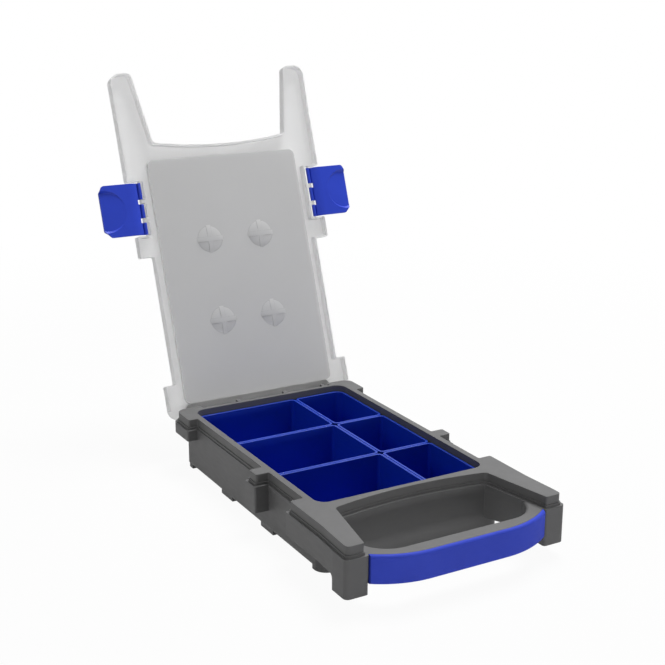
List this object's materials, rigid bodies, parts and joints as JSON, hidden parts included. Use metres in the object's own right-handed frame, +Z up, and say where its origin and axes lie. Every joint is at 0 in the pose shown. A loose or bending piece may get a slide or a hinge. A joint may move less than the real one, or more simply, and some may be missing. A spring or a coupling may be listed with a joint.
{
  "type": "small-parts organiser case",
  "caption": "Small-parts organiser case with a carry handle, lift-out bins in a grey tub, a clear hinged lid and two swinging side latches.",
  "frame": {"origin": "middle of the open case's footprint, on the ground under the feet", "axes": "+X along the hinge and the handle, -Y toward the handle, +Y toward the hinge, +Z up"},
  "size_m": [0.3152, 0.5604, 0.425],
  "materials": {
    "case_grey": "fine grained moulded polypropylene",
    "grip_blue": "soft-touch moulded grip",
    "bin_blue": "semi-gloss moulded polypropylene",
    "latch_blue": "semi-gloss moulded plastic",
    "lid_clear": "clear smoke-tinted polycarbonate, smooth",
    "pin_steel": "drawn steel wire"
  },
  "bodies": {
    "base": {"base_shell": "case_grey", "handle_grip": "grip_blue", "hinge_pin": "pin_steel"},
    "lid": {"lid": "lid_clear", "latch_pin_left": "pin_steel", "latch_pin_right": "pin_steel"},
    "latch_left": {"latch_left": "latch_blue"},
    "latch_right": {"latch_right": "latch_blue"},
    "bin_wide_front": {"bin_wide_front": "bin_blue"},
    "bin_wide_middle": {"bin_wide_middle": "bin_blue"},
    "bin_wide_rear": {"bin_wide_rear": "bin_blue"},
    "bin_narrow_front": {"bin_narrow_front": "bin_blue"},
    "bin_narrow_middle": {"bin_narrow_middle": "bin_blue"},
    "bin_narrow_rear": {"bin_narrow_rear": "bin_blue"}
  },
  "joints": [
    {"name": "lid_hinge", "type": "hinge", "parent": "base", "child": "lid", "pos_m": [0, 0.13258, 0.052], "axis": [-1, 0, 0], "range_deg": [-109.7, 0]},
    {"name": "latch_left_hinge", "type": "hinge", "parent": "lid", "child": "latch_left", "pos_m": [-0.1087, 0.22081, 0.28064], "axis": [0, -0.3371, -0.9415], "range_deg": [-90, 0]},
    {"name": "latch_right_hinge", "type": "hinge", "parent": "lid", "child": "latch_right", "pos_m": [0.1087, 0.22081, 0.28064], "axis": [0, 0.3371, 0.9415], "range_deg": [-90, 0]},
    {"name": "bin_wide_front_lift", "type": "slide", "parent": "base", "child": "bin_wide_front", "axis": [0, 0, 1], "range_m": [0, 0.07]},
    {"name": "bin_wide_middle_lift", "type": "slide", "parent": "base", "child": "bin_wide_middle", "axis": [0, 0, 1], "range_m": [0, 0.07]},
    {"name": "bin_wide_rear_lift", "type": "slide", "parent": "base", "child": "bin_wide_rear", "axis": [0, 0, 1], "range_m": [0, 0.07]},
    {"name": "bin_narrow_front_lift", "type": "slide", "parent": "base", "child": "bin_narrow_front", "axis": [0, 0, 1], "range_m": [0, 0.07]},
    {"name": "bin_narrow_middle_lift", "type": "slide", "parent": "base", "child": "bin_narrow_middle", "axis": [0, 0, 1], "range_m": [0, 0.07]},
    {"name": "bin_narrow_rear_lift", "type": "slide", "parent": "base", "child": "bin_narrow_rear", "axis": [0, 0, 1], "range_m": [0, 0.07]}
  ]
}
